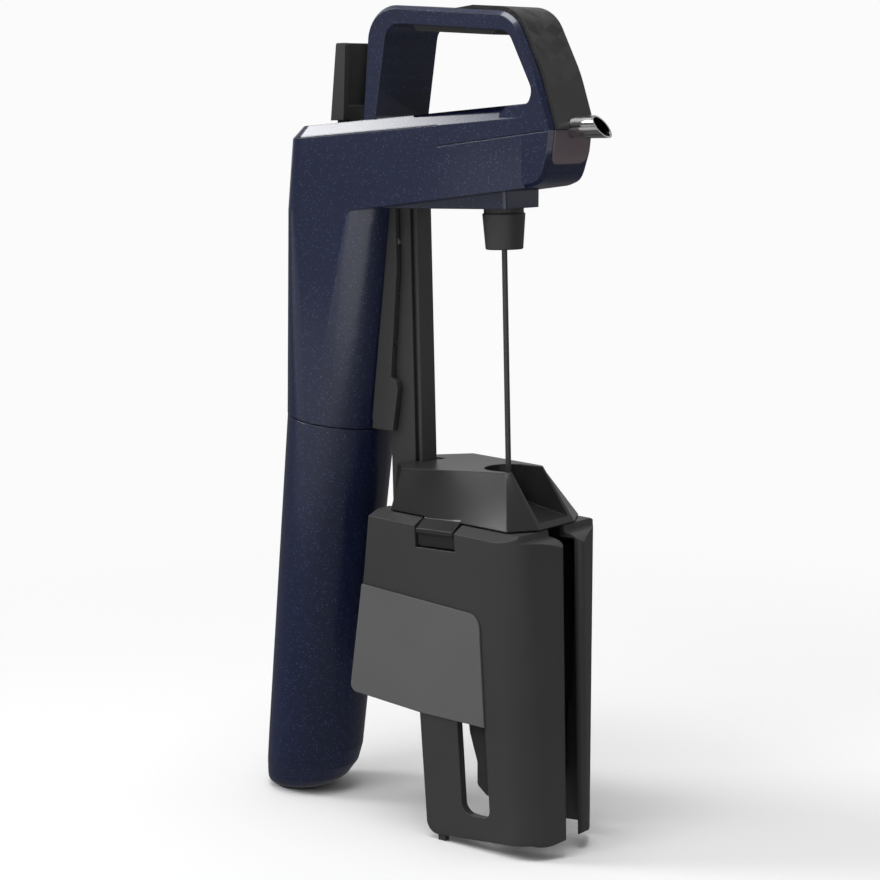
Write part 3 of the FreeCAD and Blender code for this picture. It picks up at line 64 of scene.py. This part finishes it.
class Graph:
    """A material's or world's nodes, with one way to add each."""

    def __init__(self, tree: bpy.types.NodeTree) -> None:
        """Starts from an empty node tree."""
        self.tree = tree
        tree.nodes.clear()

    def add(
        self,
        kind: str,
        settings: Mapping[str, Any] | None = None,
        sockets: Mapping[str | int, Any] | None = None,
    ) -> bpy.types.Node:
        """Adds a node.

        Args:
            kind: The node's type name.
            settings: Its own properties, set before its sockets.
            sockets: Values or wrapped sockets for its inputs.

        Returns:
            The new node.
        """
        node = self.tree.nodes.new(kind)
        for name, value in (settings or {}).items():
            setattr(node, name, value)
        for name, value in (sockets or {}).items():
            if isinstance(value, Wire):
                self.tree.links.new(value.socket, node.inputs[name])
            else:
                node.inputs[name].default_value = value
        return node

    def wire(self, node: bpy.types.Node, output: str | int = 0) -> "Wire":
        """One output of a node, ready for arithmetic."""
        return Wire(self, node.outputs[output])

    def mix_colours(self, share: "Wire", first: Any, second: Any) -> "Wire":
        """A colour that goes from the first to the second with the share."""
        values = {MIX_SHARE: share, MIX_FIRST: self._colour(first), MIX_SECOND: self._colour(second)}
        return self.wire(self.add("ShaderNodeMix", {"data_type": "RGBA"}, values), MIX_RESULT)

    @staticmethod
    def _colour(value: Any) -> Any:
        """A colour with its fourth part, or a wrapped socket as it is."""
        return value if isinstance(value, Wire) else (*value, 1.0)

    def place(self, stretch: Point = UNSTRETCHED) -> "Wire":
        """The surface's place on its object, stretched along the axes."""
        where = self.wire(self.add("ShaderNodeTexCoord"), "Object")
        return where if stretch == UNSTRETCHED else self.vector("MULTIPLY", where, stretch)

    def axes(self, vector: "Wire") -> tuple["Wire", "Wire", "Wire"]:
        """The three numbers of a vector."""
        split = self.add("ShaderNodeSeparateXYZ", None, {0: vector})
        return self.wire(split, "X"), self.wire(split, "Y"), self.wire(split, "Z")

    def vector(self, operation: str, first: Any, second: Any = ORIGIN, **named: Any) -> "Wire":
        """The vector that one Vector Math node makes."""
        sockets = {0: first, 1: second, **named}
        return self.wire(self.add("ShaderNodeVectorMath", {"operation": operation}, sockets))

    def measure(self, operation: str, first: Any, second: Any = ORIGIN) -> "Wire":
        """The number that one Vector Math node makes."""
        node = self.add("ShaderNodeVectorMath", {"operation": operation}, {0: first, 1: second})
        return self.wire(node, "Value")

    def noise(self, where: "Wire", scale: float, detail: float = 2.0) -> "Wire":
        """Soft noise from 0 to 1."""
        values = {"Vector": where, "Scale": scale, "Detail": detail}
        return self.wire(self.add("ShaderNodeTexNoise", None, values), "Fac")

    def step(self, value: "Wire", low: float, high: float) -> "Wire":
        """A smooth change from 0 at low to 1 at high."""
        values = {"Value": value, "From Min": low, "From Max": high}
        return self.wire(self.add("ShaderNodeMapRange", {"interpolation_type": "SMOOTHSTEP"}, values))

    def relief(self, height: "Wire", depth: float, edge: float = 0.0) -> "Wire":
        """A normal with relief on it.

        Args:
            height: The height pattern, from 0 to 1.
            depth: The height of 1, in metres.
            edge: The radius at which sharp edges look rounded, in metres.

        Returns:
            The normal to give the shader.
        """
        values: dict[str | int, Any] = {"Height": height, "Distance": depth, "Strength": 1.0}
        if edge:
            values["Normal"] = self.wire(self.add("ShaderNodeBevel", {"samples": 6}, {"Radius": edge}))
        return self.wire(self.add("ShaderNodeBump", None, values))


@dataclass(frozen=True)
class Wire:
    """A socket whose arithmetic adds Math nodes."""

    graph: Graph
    socket: bpy.types.NodeSocket

    def _math(self, operation: str, first: Any, second: Any = 0.0) -> "Wire":
        """The result of one Math node."""
        node = self.graph.add("ShaderNodeMath", {"operation": operation}, {0: first, 1: second})
        return self.graph.wire(node)

    def __add__(self, other: Any) -> "Wire":
        """Sum."""
        return self._math("ADD", self, other)

    def __radd__(self, other: Any) -> "Wire":
        """Sum with a number first."""
        return self._math("ADD", other, self)

    def __sub__(self, other: Any) -> "Wire":
        """Difference."""
        return self._math("SUBTRACT", self, other)

    def __rsub__(self, other: Any) -> "Wire":
        """Difference from a number."""
        return self._math("SUBTRACT", other, self)

    def __mul__(self, other: Any) -> "Wire":
        """Product."""
        return self._math("MULTIPLY", self, other)

    def __rmul__(self, other: Any) -> "Wire":
        """Product with a number first."""
        return self._math("MULTIPLY", other, self)

    def __gt__(self, other: Any) -> "Wire":
        """1 where this is the greater."""
        return self._math("GREATER_THAN", self, other)

    def floor(self) -> "Wire":
        """The whole number below."""
        return self._math("FLOOR", self)

    def fraction(self) -> "Wire":
        """What is left above the whole number below."""
        return self._math("FRACT", self)


def toned(colour: Colour, share: float) -> Colour:
    """A colour at a share of its brightness."""
    red, green, blue = colour
    return (share * red, share * green, share * blue)


@dataclass(frozen=True)
class Finish:
    """What a surface is made of. Lengths are in metres."""

    name: str
    colour: Colour
    roughness: float = 0.5
    metallic: float = 0.0
    edge: float = 0.0004

    def material(self) -> bpy.types.Material:
        """Builds the material, or returns it if it's there already."""
        made = bpy.data.materials.get(self.name)
        if made:
            return made
        made = bpy.data.materials.new(self.name)
        made.use_nodes = True
        made.diffuse_color = (*self.colour, 1.0)
        graph = Graph(made.node_tree)
        shader = graph.add("ShaderNodeBsdfPrincipled", None, {"Metallic": self.metallic})
        self.paint(graph, shader)
        graph.add("ShaderNodeOutputMaterial", None, {"Surface": graph.wire(shader)})
        return made

    def paint(self, graph: Graph, shader: bpy.types.Node) -> None:
        """Feeds the shader's sockets."""
        raise NotImplementedError

    @staticmethod
    def feed(graph: Graph, shader: bpy.types.Node, **wires: Wire) -> None:
        """Links wires to the shader's sockets, named with underscores for spaces."""
        for name, wire in wires.items():
            graph.tree.links.new(wire.socket, shader.inputs[name.replace("_", " ")])


@dataclass(frozen=True)
class FlakePaint(Finish):
    """Glossy paint with fine pale flake in it."""

    flake: Colour = (0.062, 0.088, 0.205)
    flake_scale: float = 1750.0
    flake_rim: Pair = (0.16, 0.40)
    flake_rarity: Pair = (0.42, 1.0)
    coat: float = 0.70
    coat_roughness: float = 0.08
    cloud_scale: float = 60.0
    cloud_dark: float = 0.82
    cloud_roughness: float = 0.06
    ripple_scale: float = 1600.0
    ripple_depth: float = 0.000004

    def paint(self, graph: Graph, shader: bpy.types.Node) -> None:
        """Scatters flakes of uneven brightness over a slightly uneven ground."""
        shader.inputs["Coat Weight"].default_value = self.coat
        shader.inputs["Coat Roughness"].default_value = self.coat_roughness
        where = graph.place()
        cells = graph.add("ShaderNodeTexVoronoi", None, {"Vector": where, "Scale": self.flake_scale})
        chance = graph.add("ShaderNodeSeparateColor", None, {0: graph.wire(cells, "Color")})
        near = 1.0 - graph.step(graph.wire(cells, "Distance"), *self.flake_rim)
        shine = graph.step(graph.wire(chance, "Red"), *self.flake_rarity) * near
        cloud = graph.noise(where, self.cloud_scale)
        ground = graph.mix_colours(cloud, toned(self.colour, self.cloud_dark), self.colour)
        ripple = graph.noise(where, self.ripple_scale, detail=1.0)
        self.feed(
            graph,
            shader,
            Base_Color=graph.mix_colours(shine, ground, self.flake),
            Roughness=self.roughness + self.cloud_roughness * cloud,
            Normal=graph.relief(ripple, self.ripple_depth, self.edge),
        )


@dataclass(frozen=True)
class MouldedPlastic(Finish):
    """Satin plastic with a fine spark-eroded grain."""

    grain: float = 3200.0
    depth: float = 0.000012
    mottle: float = 0.14
    mottle_scale: float = 35.0
    mottle_roughness: float = 0.05

    def paint(self, graph: Graph, shader: bpy.types.Node) -> None:
        """Adds a faint mottle of tone and gloss, and the relief."""
        where = graph.place()
        cloud = graph.noise(where, self.mottle_scale, detail=3.0)
        dark, pale = toned(self.colour, 1.0 - self.mottle), toned(self.colour, 1.0 + self.mottle)
        self.feed(
            graph,
            shader,
            Base_Color=graph.mix_colours(cloud, dark, pale),
            Roughness=self.roughness - self.mottle_roughness + 2.0 * self.mottle_roughness * cloud,
            Normal=self.surface(graph, where),
        )

    def surface(self, graph: Graph, where: Wire) -> Wire:
        """The normal of the grained surface."""
        return graph.relief(graph.noise(where, self.grain), self.depth, self.edge)


@dataclass(frozen=True)
class FacetSkin(MouldedPlastic):
    """Soft skin moulded as a field of flat triangles that fades out downward."""

    side: float = 0.0042
    slant: Pair = (0.82, 0.577)
    tilt: float = 0.26
    fade: Pair = (0.199, 0.217)

    def surface(self, graph: Graph, where: Wire) -> Wire:
        """The normal with each triangle of a slanted lattice tilted its own way."""
        x, y, z = graph.axes(where)
        along_slant, across_slant = self.slant
        along = (x - z) * (along_slant / self.side)
        first = along + y * (across_slant / self.side)
        second = along - y * (across_slant / self.side)
        upper = first.fraction() > second.fraction()
        cell = graph.add("ShaderNodeCombineXYZ", None, {0: first.floor(), 1: second.floor(), 2: upper})
        chance = graph.add("ShaderNodeTexWhiteNoise", None, {"Vector": graph.wire(cell)})
        centred = graph.vector("SUBTRACT", graph.wire(chance, "Color"), MIDDLE)
        lean = graph.vector("SCALE", centred, Scale=graph.step(z, *self.fade) * self.tilt)
        even = graph.wire(graph.add("ShaderNodeNewGeometry"), "Normal")
        return graph.vector("NORMALIZE", graph.vector("ADD", even, lean))


@dataclass(frozen=True)
class DrawnMetal(Finish):
    """Metal with fine lines along one way."""

    lines: Point = (2500.0, 2500.0, 60.0)
    depth: float = 0.000003
    line_dark: float = 0.86
    line_roughness: float = 0.12

    def paint(self, graph: Graph, shader: bpy.types.Node) -> None:
        """Draws lines that change the tone, the gloss and the relief together."""
        streak = graph.noise(graph.place(self.lines), scale=1.0)
        self.feed(
            graph,
            shader,
            Base_Color=graph.mix_colours(streak, toned(self.colour, self.line_dark), self.colour),
            Roughness=self.roughness + self.line_roughness * streak,
            Normal=graph.relief(streak, self.depth, self.edge),
        )


class Finishes(Enum):
    """Every finish on the dispenser."""

    NAVY = FlakePaint("navy_flake_paint", (0.0085, 0.0140, 0.0500), 0.28, edge=0.0006)
    BLACK = MouldedPlastic("black_satin_plastic", (0.045, 0.045, 0.045), 0.44)
    BLOCK = MouldedPlastic("black_guide_plastic", (0.021, 0.021, 0.021), 0.31)
    GREY = MouldedPlastic("grey_pad_plastic", (0.118, 0.118, 0.118), 0.58)
    GRIP = FacetSkin("soft_grip_skin", (0.024, 0.024, 0.023), 0.42)
    SMOKED = MouldedPlastic(
        "smoked_gloss_panel", (0.150, 0.122, 0.137), 0.18, grain=900.0, depth=0.000002
    )
    RUBBER = MouldedPlastic("matt_rubber", (0.020, 0.020, 0.020), 0.72)
    NEEDLE = DrawnMetal("coated_needle_steel", (0.10, 0.10, 0.10), 0.40, metallic=0.6, edge=0.0)
    CHROME = DrawnMetal(
        "polished_chrome",
        (0.86, 0.86, 0.87),
        0.05,
        metallic=1.0,
        edge=0.0,
        lines=(300.0, 300.0, 300.0),
        depth=0.0000005,
    )
    STEEL = DrawnMetal("plain_steel", (0.52, 0.52, 0.53), 0.30, metallic=1.0, edge=0.0002)
    BLUED = DrawnMetal("blackened_steel", (0.035, 0.035, 0.037), 0.42, metallic=0.8, edge=0.0002)
    ALUMINIUM = DrawnMetal("machined_aluminium", (0.62, 0.62, 0.64), 0.34, metallic=1.0, edge=0.0002)
    BUSH = MouldedPlastic("plain_bush_plastic", (0.030, 0.030, 0.030), 0.50)


Wardrobe = tuple[tuple[Finishes, tuple[str, ...]], ...]


@dataclass(frozen=True)
class Assembly:
    """A sub-assembly, which holds its nodes' names by the finish that they wear."""

    wears: Wardrobe = ()

    def build(self) -> None:
        """Dresses every node."""
        for finish, names in self.wears:
            for name in names:
                self.dress(name, finish.value)

    @staticmethod
    def dress(name: str, finish: Finish) -> None:
        """Gives one node a finish.

        Args:
            name: The node's name.
            finish: What it is to be made of.
        """
        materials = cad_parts[name].data.materials
        materials.clear()
        materials.append(finish.material())
        LOG.info("%s wears %s", name, finish.name)


@dataclass(frozen=True)
class Shell(Assembly):
    """The painted column, head, handle and capsule cup, with the gas parts inside them."""

    wears: Wardrobe = (
        (Finishes.NAVY, ("main_housing", "handle_housing", "under_cover", "capsule_cup")),
        (Finishes.STEEL, ("housing_screws", "argon_capsule", "piercing_pin")),
        (Finishes.STEEL, ("regulator_spring", "regulator_piston")),
        (Finishes.RUBBER, ("cup_pad", "capsule_seal")),
        (Finishes.ALUMINIUM, ("regulator_body",)),
    )


@dataclass(frozen=True)
class Handle(Assembly):
    """The soft grip, the smoked panel under it and the liner inside the loop."""

    wears: Wardrobe = (
        (Finishes.GRIP, ("grip",)),
        (Finishes.SMOKED, ("front_panel",)),
        (Finishes.BLACK, ("grip_liner",)),
    )


@dataclass(frozen=True)
class PouringLine(Assembly):
    """The needle, its collar, the valve, the spout and the hoses between them."""

    wears: Wardrobe = (
        (Finishes.CHROME, ("spout_tube",)),
        (Finishes.NEEDLE, ("needle", "gas_tube")),
        (Finishes.BLACK, ("ferrule",)),
        (Finishes.RUBBER, ("needle_seal", "wine_hose")),
        (Finishes.ALUMINIUM, ("needle_hub", "valve_body")),
        (Finishes.STEEL, ("valve_plunger", "valve_spring")),
        (Finishes.BUSH, ("spout_bush",)),
    )


@dataclass(frozen=True)
class Trigger(Assembly):
    """The lever behind the handle."""

    wears: Wardrobe = (
        (Finishes.BLACK, ("trigger",)),
        (Finishes.STEEL, ("trigger_pin", "trigger_spring")),
    )


@dataclass(frozen=True)
class Rail(Assembly):
    """The rail that the clamp rides on."""

    wears: Wardrobe = (
        (Finishes.BLACK, ("rail", "rail_bracket", "rail_stop")),
        (Finishes.STEEL, ("rail_screws",)),
    )


@dataclass(frozen=True)
class Clamp(Assembly):
    """The guide block and the two sprung arms that hold a bottle's neck."""

    wears: Wardrobe = (
        (Finishes.BLOCK, ("clamp_block",)),
        (Finishes.BLACK, ("carriage_shoe", "clamp_arm_right", "clamp_arm_left")),
        (Finishes.GREY, ("finger_pad_right", "finger_pad_left")),
        (Finishes.RUBBER, ("neck_jaw_right", "neck_jaw_left", "neck_stop")),
        (Finishes.BLUED, ("hinge_pin_right", "hinge_pin_left", "arm_spring_right", "arm_spring_left")),
        (Finishes.BUSH, ("guide_bush",)),
    )


@dataclass(frozen=True)
class Glow:
    """A soft bright patch of the surroundings that the camera doesn't see.

    A direction's dot product with its way is low where the glow starts and high where it is full.
    """

    way: Point
    low: float
    high: float
    power: float


@dataclass(frozen=True)
class Card:
    """A soft bright strip of the floor that the camera doesn't see.

    The climb says how far across the strip a metre ahead and a metre to the right lead. The strip is dark at
    the first distance of across and full at the second, and so it is to the right by the distances of aside.
    """

    climb: Pair
    across: Pair
    aside: Pair
    power: float


@dataclass(frozen=True)
class Softbox:
    """A soft rectangular lamp that faces the dispenser. Lengths are in metres."""

    name: str
    way: Point
    distance: float
    size: Pair
    power: float


@dataclass(frozen=True)
class Studio:
    """Floor, lamps, world and camera.

    The camera's place, in millimetres, and its three ways are told along the needle. The lens and the sensor
    are in millimetres, and other lengths in metres.
    """

    target: Point = (0.01, 0.0, 0.115)
    pale: float = 0.965
    dim: float = 0.09
    glows: tuple[Glow, ...] = (
        Glow((-0.60, 0.78, 0.15), 0.55, 1.0, 0.42),
        Glow((0.52, 0.85, 0.10), 0.70, 1.0, 0.36),
        Glow((-0.61, -0.78, 0.10), 0.970, 1.0, 0.30),
        Glow((0.0, 0.0, 1.0), 0.30, 0.95, 0.30),
        Glow((-0.705, -0.435, 0.56), 0.977, 0.998, 14.5),
    )
    cards: tuple[Card, ...] = (
        Card((0.85, 0.53), (0.28, 0.48), (0.15, 0.35), 0.70),
        Card((1.0, 0.60), (-0.03, 0.05), (1.0, 1.5), 0.50),
        Card((0.0, 1.0), (1.8, 1.1), (0.2, 0.4), 0.36),
    )
    boxes: tuple[Softbox, ...] = (
        Softbox("lamp_top", (0.05, -0.20, 1.0), 1.1, (0.7, 0.7), 7.6),
        Softbox("lamp_left", (-0.15, -0.95, 0.75), 1.2, (0.6, 0.5), 2.2),
    )
    floor_half: float = 6.0
    floor_tone: float = 0.95
    floor_fade: Pair = (0.12, 0.42)
    camera_place: Point = (353.891, -461.124, 194.111)
    camera_right: Point = (0.77579, 0.63060, -0.02232)
    camera_up: Point = (-0.07328, 0.12517, 0.98942)
    camera_back: Point = (0.62672, -0.76595, 0.14332)
    lens: float = 90.0
    sensor: float = 36.0
    nearest: float = 0.05

    def build(self) -> None:
        """Sets up the studio."""
        self._floor()
        self._world()
        for box in self.boxes:
            self._lamp(box)
        self._camera()
        bpy.context.scene.view_settings.view_transform = "Standard"
        LOG.info("studio built")

    def _floor(self) -> None:
        """Lays a wide pale floor that fades into the backdrop far off."""
        half = self.floor_half
        corners = [(-half, -half, 0.0), (half, -half, 0.0), (half, half, 0.0), (-half, half, 0.0)]
        mesh = bpy.data.meshes.new("floor")
        mesh.from_pydata(corners, [], [(0, 1, 2, 3)])
        floor = bpy.data.objects.new("floor", mesh)
        bpy.context.scene.collection.objects.link(floor)
        mesh.materials.append(self._floor_material())

    def _floor_material(self) -> bpy.types.Material:
        """Makes the floor matt near the dispenser, and lit from within far off and in reflections."""
        made = bpy.data.materials.new("pale_floor")
        made.use_nodes = True
        graph = Graph(made.node_tree)
        where = graph.place()
        far = graph.step(graph.measure("LENGTH", where), *self.floor_fade)
        rays = graph.add("ShaderNodeLightPath")
        seen, mirrored = graph.wire(rays, "Is Camera Ray"), graph.wire(rays, "Is Glossy Ray")
        ahead, left, _ = graph.axes(where)
        right = -1.0 * left
        level: Any = self.dim
        for card in self.cards:
            by_ahead, by_right = card.climb
            strip = graph.step(by_ahead * ahead + by_right * right, *card.across)
            level = card.power * strip * graph.step(right, *card.aside) + level
        strength = level * (1.0 - seen) + self.pale * seen
        tone = self.floor_tone
        near = graph.add("ShaderNodeBsdfDiffuse", None, {"Color": (tone, tone, tone, 1.0)})
        glow = graph.add("ShaderNodeEmission", None, {"Color": WHITE, "Strength": strength})
        values = {0: far + (1.0 - far) * mirrored, 1: graph.wire(near), 2: graph.wire(glow)}
        mixed = graph.add("ShaderNodeMixShader", None, values)
        graph.add("ShaderNodeOutputMaterial", None, {"Surface": graph.wire(mixed)})
        return made

    def _world(self) -> None:
        """Shows a white backdrop, and lights with a darker one that has the glows in it."""
        world = bpy.data.worlds.new("studio")
        bpy.context.scene.world = world
        world.use_nodes = True
        graph = Graph(world.node_tree)
        seen = graph.wire(graph.add("ShaderNodeLightPath"), "Is Camera Ray")
        where = graph.wire(graph.add("ShaderNodeTexCoord"), "Generated")
        level: Any = self.dim
        for glow in self.glows:
            facing = graph.measure("DOT_PRODUCT", where, glow.way)
            level = glow.power * graph.step(facing, glow.low, glow.high) + level
        strength = level * (1.0 - seen) + self.pale * seen
        back = graph.add("ShaderNodeBackground", None, {"Color": WHITE, "Strength": strength})
        graph.add("ShaderNodeOutputWorld", None, {"Surface": graph.wire(back)})

    def _lamp(self, box: Softbox) -> None:
        """Hangs one softbox, facing the dispenser."""
        data = bpy.data.lights.new(box.name, "AREA")
        data.shape = "RECTANGLE"
        data.size, data.size_y = box.size
        data.energy = box.power
        lamp = bpy.data.objects.new(box.name, data)
        bpy.context.scene.collection.objects.link(lamp)
        way = Vector(box.way).normalized()
        lamp.location = Vector(self.target) + way * box.distance
        lamp.rotation_euler = way.to_track_quat("Z", "Y").to_euler()

    def _camera(self) -> None:
        """Sets the camera at its station."""
        data = bpy.data.cameras.new("camera")
        data.lens = self.lens
        data.sensor_width = self.sensor
        data.clip_start = self.nearest
        camera = bpy.data.objects.new("camera", data)
        bpy.context.scene.collection.objects.link(camera)
        ways = [STANCE.turn(way) for way in (self.camera_right, self.camera_up, self.camera_back)]
        pose = Matrix(ways).transposed().to_4x4()
        pose.translation = STANCE.point(self.camera_place)
        camera.matrix_world = pose
        bpy.context.scene.camera = camera


def main() -> None:
    """Builds the dispenser's looks, one sub-assembly after another."""
    logging.basicConfig(level=logging.INFO, format="%(name)s: %(message)s")
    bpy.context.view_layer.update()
    for part in (Shell(), Handle(), PouringLine(), Trigger(), Rail(), Clamp(), Studio()):
        part.build()
    bpy.context.view_layer.update()


if __name__ == "__main__":
    main()
